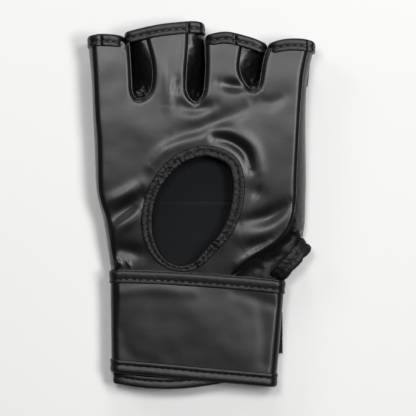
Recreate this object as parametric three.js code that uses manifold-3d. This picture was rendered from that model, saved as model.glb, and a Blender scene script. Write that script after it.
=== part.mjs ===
// Open-palm grappling glove, right hand, lying on its padded back with the palm up.
// Millimetres. X runs from the little finger to the thumb side, Y from the wrist to the fingertips and Z up
// out of the palm. The origin is the middle of the footprint on the surface that the glove lies on.
import * as THREE from "three";
import { mergeVertices } from "three/addons/utils/BufferGeometryUtils.js";
import Module from "manifold-3d";

const wasm = await Module();
wasm.setup();

// ---- driving dimensions ----
const KNUCKLE_Y = 72; // the crease that the finger stalls bend at
const GAP = 0.3; // clearance between neighbouring pieces
const LEATHER = 1.4; // fabric-backed synthetic leather
const LINING = 1.0;
const LINING_INSET = 0.4; // the lining stops this far inside the edge of the padded back
const BINDING = 7.2; // visible width of a bound edge
const PALM_Z = 27.7; // top of the palm leather at the crease
const PALM_SLOPE = 0.061; // the palm falls towards the wrist
const PAD_Z = 14; // top of the lining over the back padding, at the crease
const PAD_SLOPE = 0.036;
const MOUTH_TOP = 28.9; // a stall's bound mouth stands proud of the leather
const MOUTH_LOW = 10.4;
const MOUTH_BAND = 2.4; // thickness of the folded edge round a mouth
const CROWN = 0.6; // its palm and back sides are slightly arched
const STRAP_HALF = 1.0; // half the strap's thickness, leather and lining together
const EDGE_HALF = 1.5; // half the thickness of the strap's bound edges
const STRAP_TOP_Z = 23.0; // centreline height of the strap over the palm side
const STRAP_LOW_Z = 1.5; // and of its end under the back
const ANCHOR_Z = 6.4; // the sewn end of the strap, above the fastened end
const CORNER = 4.0; // radius of the strap's folds
const FOLD_SPLIT = 2; // degrees that each side of a fold is drawn back from its middle
const STRAP_WIDTH = 62; // between the strap's upper and lower edges
const TAPE = 1.0; // hook and loop tape
const CUFF_Z = 14.3; // middle height of the flattened sleeve inside the strap
const CUFF_HALF_HEIGHT = 4.4;

// ---- materials ----
const leather = new THREE.MeshStandardMaterial({ color: 0x1b1b1d, roughness: 0.42, metalness: 0 });
const bindingLeather = new THREE.MeshStandardMaterial({ color: 0x202023, roughness: 0.5, metalness: 0 });
const elastic = new THREE.MeshStandardMaterial({ color: 0x1a1a1c, roughness: 0.75, metalness: 0 });
const fabric = new THREE.MeshStandardMaterial({ color: 0x101216, roughness: 0.95, metalness: 0 });
const foam = new THREE.MeshStandardMaterial({ color: 0x3a3a3c, roughness: 1, metalness: 0 });
const hookTape = new THREE.MeshStandardMaterial({ color: 0x0b0b0c, roughness: 0.8, metalness: 0 });

const glove = new THREE.Group();

function add(name, geometry, material) {
  const mesh = new THREE.Mesh(geometry, material);
  mesh.name = name;
  glove.add(mesh);
  return mesh;
}

// ---- shape helpers ----
const palmTop = (y) => PALM_Z + PALM_SLOPE * Math.min(0, y - KNUCKLE_Y);
const palmLow = (y) => palmTop(y) - LEATHER;
const padTop = (y) => PAD_Z + PAD_SLOPE * Math.min(0, y - KNUCKLE_Y);
const sideTop = (y) => palmLow(y) - GAP; // the side walls stand between the palm leather
const sideLow = (y) => padTop(y) + GAP; // and the lining over the padding
const liningLow = (y) => padTop(y) - LINING;
const coverTop = (y) => liningLow(y) - GAP;
const foamTop = (y) => coverTop(y) - GAP;
const level = (z) => () => z;

// A smooth run of [x, y] points through the given ones.
function curve(points, steps) {
  const spline = new THREE.SplineCurve(points.map(([x, y]) => new THREE.Vector2(x, y)));
  return spline.getPoints(steps).map((p) => [p.x, p.y]);
}

// A tilted ellipse: half length, half width, centre and lean from the Y axis towards +X.
function oval(halfLength, halfWidth, [cx, cy], lean, steps = 36) {
  return Array.from({ length: steps }, (_, i) => {
    const turn = (2 * Math.PI * i) / steps;
    const along = halfLength * Math.cos(turn);
    const across = halfWidth * Math.sin(turn);
    return [
      cx + along * Math.sin(lean) + across * Math.cos(lean),
      cy + along * Math.cos(lean) - across * Math.sin(lean),
    ];
  });
}

const rectangle = (x0, y0, x1, y1) => [[x0, y0], [x1, y0], [x1, y1], [x0, y1]];

function shapeOf(outline, hole = []) {
  const points = (line) => line.map(([a, b]) => new THREE.Vector2(a, b));
  const outer = points(outline);
  if (THREE.ShapeUtils.isClockWise(outer)) outer.reverse();
  const shape = new THREE.Shape(outer);
  if (hole.length > 0) shape.holes = [new THREE.Path(points(hole))];
  return shape;
}

// A flat piece cut to an [x, y] outline, whose underside and top follow heights given along y.
function slab(outline, low, high, hole = []) {
  const geometry = new THREE.ExtrudeGeometry(shapeOf(outline, hole), { depth: 1, bevelEnabled: false });
  const position = geometry.getAttribute("position");
  for (let i = 0; i < position.count; i++) {
    const y = position.getY(i);
    position.setZ(i, position.getZ(i) < 0.5 ? low(y) : high(y));
  }
  return geometry;
}

// The closed outline of a strip of the given half thickness along an open line of [a, b] points.
function ribbon(line, half) {
  const side = (sign) =>
    line.map(([a, b], i) => {
      const [a0, b0] = line[Math.max(0, i - 1)];
      const [a1, b1] = line[Math.min(line.length - 1, i + 1)];
      const length = Math.hypot(a1 - a0, b1 - b0);
      return [a - (sign * half * (b1 - b0)) / length, b + (sign * half * (a1 - a0)) / length];
    });
  return [...side(1), ...side(-1).reverse()];
}

// A closed surface from [x, y, z] points and faces that all turn the same way.
function surface(points, faces) {
  const corner = (i) => new THREE.Vector3(...points[i]);
  const volume = faces.reduce((sum, [i, j, k]) => sum + corner(i).dot(corner(j).cross(corner(k))), 0);
  if (volume < 0) faces.forEach((face) => face.reverse());
  const geometry = new THREE.BufferGeometry();
  geometry.setAttribute("position", new THREE.Float32BufferAttribute(points.flat(), 3));
  geometry.setIndex(faces.flat());
  return geometry;
}

// The solid between two ribbon outlines of 3-D points that have the same number of points.
function loft(ribbonA, ribbonB) {
  const n = ribbonA.length;
  const faces = [];
  for (let i = 0; i + 1 < n / 2; i++) {
    const far = n - 1 - i;
    faces.push([i, far, far - 1], [i, far - 1, i + 1]);
    faces.push([n + i, n + far - 1, n + far], [n + i, n + i + 1, n + far - 1]);
  }
  for (let i = 0; i < n; i++) {
    const next = (i + 1) % n;
    faces.push([i, next, n + next], [i, n + next, n + i]);
  }
  return surface([...ribbonA, ...ribbonB], faces);
}

// A bound edge round an opening that faces along Y. outer and inner are [x, z] loops, rimY(x) is its rim.
function rim(outer, inner, rimY) {
  const n = outer.length;
  const loops = [[outer, 0], [inner, 0], [inner, BINDING], [outer, BINDING]];
  const points = loops.flatMap(([loop, back]) => loop.map(([x, z]) => [x, rimY(x) - back, z]));
  const faces = loops.flatMap((_, ring) =>
    outer.flatMap((_, i) => {
      const [a, b] = [ring * n, ((ring + 1) % 4) * n];
      const next = (i + 1) % n;
      return [[a + i, a + next, b + next], [a + i, b + next, b + i]];
    }),
  );
  return surface(points, faces);
}

// A wall of cloth that leans from an [x, y] line at its top edge to another at its bottom edge.
function wall(topLine, lowLine, topZ, lowZ, half = LEATHER / 2) {
  const edge = (line, z) => ribbon(line, half).map(([x, y]) => [x, y, z(y)]);
  return loft(edge(topLine, topZ), edge(lowLine, lowZ));
}

function solid(geometry) {
  const bare = geometry.clone();
  bare.deleteAttribute("normal");
  bare.deleteAttribute("uv");
  const merged = mergeVertices(bare, 1e-4);
  return new wasm.Manifold(
    new wasm.Mesh({
      numProp: 3,
      vertProperties: merged.getAttribute("position").array,
      triVerts: new Uint32Array(merged.index.array),
    }),
  );
}

// A back cover: a floor and a low wall of leather, open towards the hand, that holds the foam.
function tray(outline) {
  const room = slab(outline(LEATHER), level(LEATHER), (y) => coverTop(y) + 1);
  return cut(slab(outline(0), level(0), coverTop), room);
}

function fromManifold(body) {
  const mesh = body.getMesh();
  const geometry = new THREE.BufferGeometry();
  geometry.setAttribute("position", new THREE.Float32BufferAttribute(mesh.vertProperties, 3));
  geometry.setIndex(new THREE.BufferAttribute(mesh.triVerts, 1));
  return geometry;
}

const cut = (geometry, tool) => fromManifold(solid(geometry).subtract(solid(tool)));

// ---- the four finger stalls ----
// left and right are the seams of the palm face from the crease up, and top is where they meet the mouth.
// lane is the width of the padded back at the crease and at the mouth.
// mouth is the height of the bound edge at the left, the middle and the right of the lane.
const fingers = [
  {
    name: "little",
    left: [[-62.8, 72.3], [-64.2, 84]],
    right: [[-42.6, 72.3], [-43.6, 84]],
    top: [-65.6, -46.8],
    lane: [[-65.2, -46.4], [-68.4, -46.4]],
    mouth: [101.2, 103.6, 100.6],
  },
  {
    name: "ring",
    left: [[-30.9, 72.3], [-31.2, 84]],
    right: [[-9.6, 72.3], [-9.5, 84]],
    top: [-33.6, -8.6],
    lane: [[-43.2, 1.4], [-45.8, 1.9]],
    mouth: [104.2, 109.6, 111.1],
  },
  {
    name: "middle",
    left: [[0.6, 72.3], [1.6, 84]],
    right: [[30.2, 72.3], [26.0, 80]],
    top: [2.9, 24.8],
    lane: [[2.4, 38.4], [2.4, 39.4]],
    mouth: [103.0, 104.2, 97.8],
  },
  {
    name: "index",
    left: [[34.8, 72.3], [37.6, 80]],
    right: [[61.6, 72.3], [63.2, 82]],
    top: [40.5, 64.6],
    lane: [[40.0, 64.2], [40.0, 68.4]],
    mouth: [97.6, 101.2, 98.6],
  },
];

// How far up a stall's mouth lies at x, on the curve through its three mouth points.
function mouthY({ lane, mouth }, x) {
  const [left, right] = lane[1];
  const t = (x - left) / (right - left);
  const [a, b, c] = mouth;
  return a * (1 - t) * (1 - 2 * t) + 4 * b * t * (1 - t) + c * t * (2 * t - 1);
}

// Points of the mouth curve between two x values, set back down the stall.
function mouthLine(finger, left, right, back, steps = 6) {
  return Array.from({ length: steps + 1 }, (_, i) => {
    const x = left + ((right - left) * i) / steps;
    return [x, mouthY(finger, x) - back];
  });
}

// The bound edge round a stall's mouth: a frame seen from the fingertip, bent to follow the mouth.
function mouthFrame(finger) {
  const [left, right] = finger.lane[1];
  const [topLeft, topRight] = finger.top;
  const middle = (MOUTH_TOP + MOUTH_LOW) / 2;
  const crowned = (from, to, z, rise, steps) =>
    Array.from({ length: steps + 1 }, (_, i) => {
      const t = i / steps;
      return [from + (to - from) * t, z + rise * 4 * t * (1 - t)];
    });
  const frame = (inset) => [
    [left + inset, middle - 1],
    ...crowned(topLeft + inset * 0.7, topRight - inset * 0.7, MOUTH_TOP - CROWN - inset, CROWN, 6),
    [right - inset, middle - 1],
    ...crowned(right - 2 - inset, left + 2 + inset, MOUTH_LOW + CROWN + inset, -CROWN, 4),
  ];
  return rim(frame(0), frame(MOUTH_BAND), (x) => mouthY(finger, x));
}

// A wall from the crease to the mouth, between the palm face's seam above and the padded back's edge below.
function stallWall(finger, seam, topX, backX, inward) {
  const shift = inward * (LEATHER / 2 + GAP);
  const end = Math.min(mouthY(finger, topX), mouthY(finger, backX[1])) - BINDING - GAP;
  const topLine = [...seam, [topX, end]].map(([x, y]) => [x + shift, y]);
  const [start] = seam;
  const lowLine = topLine.map(([, y]) => {
    const along = (y - start[1]) / (end - start[1]);
    return [backX[0] + (backX[1] - backX[0]) * along + shift, y];
  });
  return wall(topLine, lowLine, sideTop, sideLow);
}

function stall(finger) {
  const { name, left, right, top, lane } = finger;
  const back = BINDING + GAP;
  const face = [...left, ...mouthLine(finger, top[0], top[1], back), ...[...right].reverse()];
  const [leftLane, rightLane] = [0, 1].map((side) => [lane[0][side], lane[1][side]]);
  add(`${name}_palm_face`, slab(face, palmLow, palmTop), leather);
  add(`${name}_left_wall`, stallWall(finger, left, top[0], leftLane, 1), leather);
  add(`${name}_right_wall`, stallWall(finger, right, top[1], rightLane, -1), leather);

  const shoulder = 8; // the pad's outer corners are cut off over this much of its length
  const corner = 4; // and this much of its width
  const pad = (inset) => [
    [leftLane[0] + inset, KNUCKLE_Y + GAP + inset],
    [leftLane[1] + inset, mouthY(finger, leftLane[1]) - back - shoulder],
    ...mouthLine(finger, leftLane[1] + corner + inset, rightLane[1] - corner - inset, back + inset, 4),
    [rightLane[1] - inset, mouthY(finger, rightLane[1]) - back - shoulder],
    [rightLane[0] - inset, KNUCKLE_Y + GAP + inset],
  ];
  add(`${name}_back_cover`, tray(pad), leather);
  add(`${name}_foam`, slab(pad(LEATHER + GAP), level(LEATHER + GAP), foamTop), foam);
  add(`${name}_lining`, slab(pad(LINING_INSET), liningLow, padTop), fabric);
  add(`${name}_binding`, mouthFrame(finger), bindingLeather);
}

fingers.forEach(stall);

// ---- the hand: palm leather, side strips, webs, padded back and lining ----
const strapTopEdge = (x) => -38.4 - 0.068 * (x + 55.5); // the strap's upper edge across the palm side
const handLeft = [[-65.4, 71.8], [-65.1, 51.6], [-64.5, 27.6], [-62.9, 10], [-58.6, -11.4], [-54.4, -35]];
const LITTLE_SIDE_WIDTH = 2.6; // how much of the little finger's side strip shows beside the palm leather
const palmLeft = handLeft.map(([x, y]) => [x + LITTLE_SIDE_WIDTH, y]);
const palmRight = curve([[61.6, 71.8], [60.0, 50], [58.8, 28], [58.4, 4], [56.6, -12]], 8);
const palmThumb = curve([[56.6, -12], [52, -20], [44, -27.2], [32, -34], [22, -40]], 8).slice(1);
const handRight = curve([[63.8, 71.8], [63.0, 55], [63.3, 15.6], [62.8, -10], [61.4, -20]], 8);

// The bottoms of the three slits between the stalls, left to right.
const slits = [
  [[-42.6, 71.8], [-41.4, 67.4], [-37.2, 63.8], [-32.6, 67.4], [-30.9, 71.8]],
  [[-9.6, 71.8], [-8.6, 67.0], [-4.2, 63.4], [-0.4, 67.0], [0.6, 71.8]],
  [[30.2, 71.8], [31.2, 70.4], [32.4, 69.8], [33.8, 70.4], [34.8, 71.8]],
];

const HOLE = { halfLength: 39.2, halfWidth: 28.3, centre: [-5.4, -1.2], lean: 27.3 };
const HOLE_BINDING = 6.6; // width of the elastic binding round it
const holeEdge = (grow) =>
  oval(HOLE.halfLength + grow, HOLE.halfWidth + grow, HOLE.centre, THREE.MathUtils.degToRad(HOLE.lean));

const palmBottom = [22, -10, -50].map((x) => [x, strapTopEdge(x) + 0.5]);
const palmOutline = [
  ...palmLeft.slice().reverse(),
  ...slits.flat(),
  ...palmRight,
  ...palmThumb.slice(0, -1),
  ...palmBottom,
];
add("palm_panel", slab(palmOutline, palmLow, palmTop, holeEdge(0)), leather);
add(
  "palm_hole_binding",
  slab(holeEdge(-GAP), (y) => palmLow(y) - 1.2, (y) => palmTop(y) + 1.0, holeEdge(-HOLE_BINDING)),
  elastic,
);

const inset = (line, dx) => line.map(([x, y]) => [x + dx, y]);
add("little_side_strip", wall(inset(palmLeft, 0.6), inset(handLeft, 0.9), sideTop, sideLow), leather);
add("index_side_strip", wall(inset(palmRight, -0.6), inset(handRight, -0.9), sideTop, sideLow), leather);

// A web stands just outside its slit, wider at the slit's ends than at its bottom.
const WEB_SHIFT = [[-0.9, 0], [-0.6, 0], [0, -0.9], [0.6, 0], [0.9, 0]];
const WEB_HALF = 0.6;
slits.forEach((slit, i) => {
  const narrow = i === 2 ? 0.3 : 1;
  const web = slit.map(([x, y], k) => [x + WEB_SHIFT[k][0] * narrow, y + WEB_SHIFT[k][1]]);
  add(`finger_web_${i + 1}`, wall(web, web, sideTop, sideLow, WEB_HALF), leather);
});

// The padded back, drawn in towards the middle of the hand by inset.
const BACK_MIDDLE_Y = 18;
const backOutline = (drawnIn) =>
  [
    ...[...handLeft].reverse(),
    ...handRight,
    ...curve([handRight.at(-1), [55, -33], [46, -44.2]], 4).slice(1),
    [-50, strapTopEdge(-50) + 1],
  ].map(([x, y]) => [x - Math.sign(x) * drawnIn, y - Math.sign(y - BACK_MIDDLE_Y) * drawnIn]);
add("back_panel", tray(backOutline), leather);
add("knuckle_foam", slab(backOutline(LEATHER + GAP), level(LEATHER + GAP), foamTop), foam);

// The lining over the padding is two cloths that meet under the palm opening.
const LINING_SEAM_Y = 3;
const BEYOND = 100; // further out than any piece of the hand
const liningPart = (y0, y1) => {
  const whole = solid(slab(backOutline(LINING_INSET), liningLow, padTop));
  const half = solid(slab(rectangle(-BEYOND, y0, BEYOND, y1), level(0), level(BEYOND)));
  return fromManifold(whole.intersect(half));
};
add("lining_upper", liningPart(LINING_SEAM_Y + GAP / 2, BEYOND), fabric);
add("lining_lower", liningPart(-BEYOND, LINING_SEAM_Y - GAP / 2), fabric);

// ---- thumb opening: an elastic ring that faces out and towards the wrist ----
const THUMB = { halfWidth: 11.5, halfHeight: 5.2, elastic: 1.6, turn: 60, centre: [53.8, -30.2, 16] };
const thumbLoop = (grow) => oval(THUMB.halfWidth + grow, THUMB.halfHeight + grow, [0, 0], Math.PI / 2, 24);
const thumbRing = rim(thumbLoop(0), thumbLoop(-THUMB.elastic), level(0));
const thumbBinding = add("thumb_opening_binding", thumbRing, elastic);
thumbBinding.rotation.z = THREE.MathUtils.degToRad(THUMB.turn);
thumbBinding.position.set(...THUMB.centre);

// ---- wrist: strap and cuff, each ruled between an upper and a lower edge ----
// Both edges follow the same path round the wrist. The left and right folds differ between the two edges.
const upper = { left: -55.4, right: 50.6, y: strapTopEdge };
const lower = { left: -54.2, right: 44.8, y: (x) => -100.2 - 0.0905 * (x + 54.2) };
const ANCHOR_X = 6; // where the sewn end starts
const TAB_X = 38; // where the fastened end stops

// One face of the strap in XZ at one edge of it, as four runs from the sewn end to the fastened end. out is
// how far that face lies outside the middle of the strap's thickness. The runs part where a fold can bend.
function strapRuns({ left, right }, out) {
  const arc = (cx, cz, from, to, steps) =>
    Array.from({ length: steps + 1 }, (_, i) => {
      const turn = THREE.MathUtils.degToRad(from + ((to - from) * i) / steps);
      return [cx + (CORNER + out) * Math.cos(turn), cz + (CORNER + out) * Math.sin(turn)];
    });
  const l = left + EDGE_HALF + CORNER;
  const r = right - EDGE_HALF - CORNER;
  const high = STRAP_TOP_Z - CORNER;
  const low = STRAP_LOW_Z + CORNER;
  const [before, after] = [45 - FOLD_SPLIT, 45 + FOLD_SPLIT];
  const sewnFold = arc(r, ANCHOR_Z + CORNER, -90, 0, 4);
  return {
    anchor: [[ANCHOR_X, ANCHOR_Z - out], ...sewnFold, ...arc(r, high, 0, before, 2)],
    palm: [...arc(r, high, after, 90, 2), ...arc(l, high, 90, 90 + before, 2)],
    side: [...arc(l, high, 90 + after, 180, 2), ...arc(l, low, 180, 180 + before, 2)],
    tab: [...arc(l, low, 180 + after, 270, 2), ...[-20, 10, TAB_X].map((x) => [x, STRAP_LOW_Z - out])],
  };
}

// The fastened end narrows towards its tip.
const TAPER_X = -50;
const taper = (x) => THREE.MathUtils.clamp((x - TAPER_X) / (TAB_X - TAPER_X), 0, 1) ** 1.4;
const edgeY = {
  anchor: [upper.y, lower.y],
  palm: [upper.y, lower.y],
  side: [() => upper.y(upper.left), () => lower.y(lower.left)],
  tab: [(x) => upper.y(upper.left) - 21.5 * taper(x), (x) => lower.y(lower.left) + 5.5 * taper(x)],
};

// Part of the strap: one run round the wrist, between two shares of the way from the upper edge to the lower.
function strapPiece(run, from, to, halfThickness) {
  const section = (edge) => [
    ...strapRuns(edge, halfThickness)[run],
    ...strapRuns(edge, -halfThickness)[run].reverse(),
  ];
  const outlineA = section(upper);
  const outlineB = section(lower);
  const at = (share) =>
    outlineA.map(([xa, za], i) => {
      const [xb, zb] = outlineB[i];
      const [ya, yb] = [edgeY[run][0](xa), edgeY[run][1](xb)];
      return [xa + (xb - xa) * share, ya + (yb - ya) * share, za + (zb - za) * share];
    });
  return loft(at(from), at(to));
}

const EDGE = BINDING / STRAP_WIDTH; // a bound edge's share of the strap's width
const SPLIT = GAP / STRAP_WIDTH;
for (const run of ["anchor", "palm", "side", "tab"]) {
  add(`strap_${run}_panel`, strapPiece(run, EDGE + SPLIT, 1 - EDGE - SPLIT, STRAP_HALF), leather);
  add(`strap_${run}_upper_binding`, strapPiece(run, 0, EDGE, EDGE_HALF), bindingLeather);
  add(`strap_${run}_lower_binding`, strapPiece(run, 1 - EDGE, 1, EDGE_HALF), bindingLeather);
}

// Hook tape on the strap's end, and the loop tape that it grips, on the sewn end.
const TAPE_Y = [-89.5, -64.5];
const tape = (x0, x1, z) => slab(rectangle(x0, TAPE_Y[0], x1, TAPE_Y[1]), level(z), level(z + TAPE));
add("hook_patch", tape(-8, 36, STRAP_LOW_Z + STRAP_HALF + GAP), hookTape);
add("loop_patch", tape(-4, 49.2, ANCHOR_Z - STRAP_HALF - GAP - TAPE), hookTape);

// The cuff is a flattened sleeve inside the strap: a padded back half, a leather palm half and a bound hem.
const cuffEnds = ({ left, right }) => [left + 9.5, right - 8];
// The hem's lower edge dips in the middle and rises towards both sides.
const hemY = (x) => -111.1 + 7.5 * Math.sin(((x + 19) / 62) * (Math.PI / 2)) ** 2;

// Each half leaves a little of the sleeve's turned sides open to its neighbour.
const CUFF_SIDE_SHARE = 0.11;
function cuffHalf(sign, halfThickness) {
  const steps = 10;
  const line = (strapEdge) => {
    const [from, to] = cuffEnds(strapEdge);
    const radius = (to - from) / 2;
    return Array.from({ length: steps + 1 }, (_, i) => {
      const turn = Math.PI * (CUFF_SIDE_SHARE + ((1 - 2 * CUFF_SIDE_SHARE) * i) / steps);
      return [
        from + radius - radius * Math.cos(turn),
        CUFF_Z + sign * CUFF_HALF_HEIGHT * Math.sin(turn),
      ];
    });
  };
  const edge = (strapEdge, y) => ribbon(line(strapEdge), halfThickness).map(([x, z]) => [x, y(x), z]);
  return loft(
    edge(upper, (x) => strapTopEdge(x) - GAP),
    edge(lower, (x) => hemY(x) + BINDING + GAP),
  );
}
add("palm_cuff", cuffHalf(1, LEATHER / 2), leather);
add("back_cuff", cuffHalf(-1, 1.4), leather);

// The hem is one closed band round the open end of the sleeve.
function hemBand() {
  const [from, to] = cuffEnds(lower);
  const turns = 28;
  const loop = (grow) =>
    Array.from({ length: turns }, (_, i) => {
      const turn = (2 * Math.PI * i) / turns;
      const halfWidth = (to - from) / 2 + grow;
      const halfHeight = CUFF_HALF_HEIGHT + grow;
      return [(from + to) / 2 + halfWidth * Math.cos(turn), CUFF_Z + halfHeight * Math.sin(turn)];
    });
  return rim(loop(1.4), loop(-0.6), (x) => hemY(x) + BINDING);
}
add("cuff_binding", hemBand(), bindingLeather);

export default glove;
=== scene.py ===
import math

import bpy
import numpy as np
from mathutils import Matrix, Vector, noise
from mathutils.geometry import delaunay_2d_cdt


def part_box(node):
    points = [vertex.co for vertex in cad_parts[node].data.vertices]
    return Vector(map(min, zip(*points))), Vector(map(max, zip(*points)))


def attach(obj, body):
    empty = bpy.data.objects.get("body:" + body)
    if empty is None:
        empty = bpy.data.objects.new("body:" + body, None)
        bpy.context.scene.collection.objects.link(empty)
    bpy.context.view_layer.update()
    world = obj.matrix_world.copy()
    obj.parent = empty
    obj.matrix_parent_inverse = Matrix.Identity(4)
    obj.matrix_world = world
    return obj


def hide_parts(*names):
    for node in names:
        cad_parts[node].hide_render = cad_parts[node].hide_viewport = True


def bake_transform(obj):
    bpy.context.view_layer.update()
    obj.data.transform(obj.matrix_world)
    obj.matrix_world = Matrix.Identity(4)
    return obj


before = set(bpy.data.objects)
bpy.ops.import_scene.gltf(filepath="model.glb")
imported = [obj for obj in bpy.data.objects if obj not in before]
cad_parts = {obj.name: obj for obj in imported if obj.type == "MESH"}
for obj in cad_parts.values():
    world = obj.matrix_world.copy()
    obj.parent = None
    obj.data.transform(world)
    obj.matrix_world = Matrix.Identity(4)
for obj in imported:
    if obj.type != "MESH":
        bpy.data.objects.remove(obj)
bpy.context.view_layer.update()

# Looks of an open-palm grappling glove that lies on its padded back. Lengths are in millimetres until a mesh
# is made: X runs towards the thumb side, Y towards the fingertips and Z up out of the palm.
MM = 0.001
STRAP_Y = -38.0  # the strap's upper edge
CREASE_Y = 72.0  # the stalls bend here
SPLIT_Y = 70.0  # the leather is parted here into the hand's share and one share for each stall
STITCH_PITCH = 4.2
ELASTIC_PITCH = 3.4  # of the stitches in the elastic edges
SPACING = 1.5  # between points on the leather
PALM_Z = 27.7  # the top of the palm leather at the crease
PALM_DROP = 6.7  # how much lower the palm leather lies at the strap than at the crease
PAD_Z = 14.0  # the top of the padding at the crease
PAD_SLOPE = 0.036  # how it falls from there towards the wrist
LEATHER = 1.3  # thickness of the palm leather
WALL = 1.0  # thickness of the side walls and the slit walls
THIN = 0.9  # thickness of linings and gussets
TAPE_WIDTH = 7.4
TAPE_HALF = 1.25  # half the thickness of a bound edge
PAD_CORNER_Z = 1.6  # the height at which a pad's form starts, before it swells
PAD_SWELL = 5.0  # how far it swells at most
PAD_PRESSURE = 4.0  # the air pressure in the cloth simulation
CLOTH_STEPS = 20  # the frames that it runs for
PAD_BEYOND = 4.5  # how far a pad runs on past the crease, where its end is flattened against its neighbour
HOLE_TOP_BESIDE_STRAP = 21.2  # the palm opening's binding stays below the strap


# ---------------------------------------------------------------- materials
class Surface:
    """A material in the making, whose patterns lie in the object's own space."""

    def __init__(self, name, roughness, specular):
        self.material = bpy.data.materials.new(name)
        self.material.use_nodes = True
        self.tree = self.material.node_tree
        self.shader = self.tree.nodes["Principled BSDF"].inputs
        self.shader["Roughness"].default_value = roughness
        self.shader["Specular IOR Level"].default_value = specular
        self.where = self.tree.nodes.new("ShaderNodeTexCoord").outputs["Object"]

    def node(self, kind, inputs, output, **settings):
        """The output of a new node. Its inputs are values or other nodes' outputs."""
        made = self.tree.nodes.new(kind)
        for key, value in settings.items():
            setattr(made, key, value)
        for key, value in inputs.items():
            if isinstance(value, bpy.types.NodeSocket):
                self.tree.links.new(value, made.inputs[key])
            else:
                made.inputs[key].default_value = value
        return made.outputs[output]

    def noise(self, scale, detail, **inputs):
        """A cloudy pattern."""
        inputs = {"Vector": self.where, "Scale": scale, "Detail": detail, **inputs}
        return self.node("ShaderNodeTexNoise", inputs, "Fac")

    def cells(self, scale, **inputs):
        """A pattern of small round cells."""
        inputs = {"Vector": self.where, "Scale": scale, **inputs}
        return self.node("ShaderNodeTexVoronoi", inputs, "Distance")

    def ribs(self, scale, direction):
        """A pattern of slightly wavy ribs."""
        inputs = {"Vector": self.where, "Scale": scale, "Distortion": 2.5}
        return self.node("ShaderNodeTexWave", inputs, "Fac", bands_direction=direction)

    def spread(self, value, low, high):
        """value from 0 to 1, brought to low to high."""
        return self.node("ShaderNodeMapRange", {"Value": value, "To Min": low, "To Max": high}, "Result")

    def combine(self, operation, first, second):
        """The sum or the product of two patterns."""
        return self.node("ShaderNodeMath", {0: first, 1: second}, "Value", operation=operation)

    def bump(self, height, strength, distance, under=None):
        """A surface normal that follows height, on top of the normal that lies under it."""
        inputs = {"Height": height, "Strength": strength, "Distance": distance}
        if under:
            inputs["Normal"] = under
        return self.node("ShaderNodeBump", inputs, "Normal")

    def tint(self, pattern, low, high, dark, light):
        """Colours the surface from dark to light as a pattern goes from low to high."""
        colour = self.node("ShaderNodeValToRGB", {"Fac": pattern}, "Color")
        first, last = colour.node.color_ramp.elements
        first.position, last.position = low, high
        first.color = (*dark, 1)
        last.color = (*light, 1)
        self.feed("Base Color", colour)

    def feed(self, name, value):
        """Leads a node's output into one of the shader's inputs."""
        self.tree.links.new(value, self.shader[name])


def synthetic_leather(name, dark, light, roughness, wrinkle, specular):
    """Smooth coated leather: a fine pebble grain, slow waves in the sheen and faint rubbed patches. roughness
    is its lowest and highest, and wrinkle is how strong its small creases are."""
    surface = Surface(name, roughness[0], specular)
    cloud = surface.noise(38, 5, Roughness=0.6)
    rubbed = surface.noise(190, 4, Roughness=0.7)
    surface.tint(cloud, 0.35, 0.7, dark, light)
    sheen = surface.combine("ADD", surface.spread(cloud, 0, 0.5), surface.spread(rubbed, 0, 0.5))
    surface.feed("Roughness", surface.spread(sheen, *roughness))
    normal = surface.bump(surface.noise(330, 3, Distortion=0.9), wrinkle, 0.0006)
    normal = surface.bump(surface.cells(1900), 0.12, 0.0001, normal)
    surface.feed("Normal", surface.bump(surface.noise(2600, 3), 0.08, 0.0001, normal))
    return surface.material


def knitted_lining():
    """Matt knitted cloth: crossed fine ribs and a soft nap."""
    surface = Surface("knitted_lining", 0.95, 0.2)
    nap = surface.noise(900, 6, Roughness=0.8)
    surface.tint(nap, 0.3, 0.75, (0.004, 0.0045, 0.006), (0.010, 0.011, 0.014))
    surface.shader["Sheen Weight"].default_value = 0.06
    surface.shader["Sheen Roughness"].default_value = 0.6
    knit = surface.combine("MULTIPLY", surface.ribs(560, "X"), surface.ribs(470, "Y"))
    surface.feed("Normal", surface.bump(nap, 0.5, 0.0005, surface.bump(knit, 0.6, 0.0004)))
    return surface.material


def hook_tape():
    """Hook-and-loop tape: rows of tiny stiff hooks."""
    surface = Surface("hook_tape", 0.7, 0.4)
    surface.tint(surface.noise(160, 4), 0.3, 0.7, (0.004, 0.004, 0.004), (0.012, 0.012, 0.013))
    surface.feed("Normal", surface.bump(surface.cells(900, Randomness=0.25), 1.0, 0.0008))
    return surface.material


def sewing_thread():
    """Black bonded thread: a slight twist along a matt strand."""
    surface = Surface("sewing_thread", 0.7, 0.15)
    twist = surface.noise(2400, 2)
    surface.tint(twist, 0.3, 0.7, (0.001, 0.001, 0.001), (0.004, 0.004, 0.0045))
    surface.feed("Normal", surface.bump(twist, 0.5, 0.0002))
    return surface.material


def pale_floor():
    """A matt white table top with very faint clouds."""
    surface = Surface("pale_floor", 0.9, 0.2)
    surface.tint(surface.noise(3, 2), 0.2, 0.8, (0.86, 0.86, 0.85), (0.89, 0.89, 0.885))
    return surface.material


LEATHER_SKIN = synthetic_leather("palm_leather", (0.0025, 0.0025, 0.003), (0.005, 0.005, 0.006),
                                 roughness=(0.30, 0.39), wrinkle=0.04, specular=0.43)
LEATHER_TAPE = synthetic_leather("tape_leather", (0.002, 0.002, 0.0025), (0.005, 0.005, 0.0058),
                                 roughness=(0.34, 0.46), wrinkle=0.25, specular=0.34)
LEATHER_ELASTIC = synthetic_leather("elastic_leather", (0.002, 0.002, 0.0024), (0.005, 0.005, 0.0056),
                                    roughness=(0.42, 0.56), wrinkle=0.5, specular=0.26)
LINING = knitted_lining()
HOOKS = hook_tape()
THREAD = sewing_thread()


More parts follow.
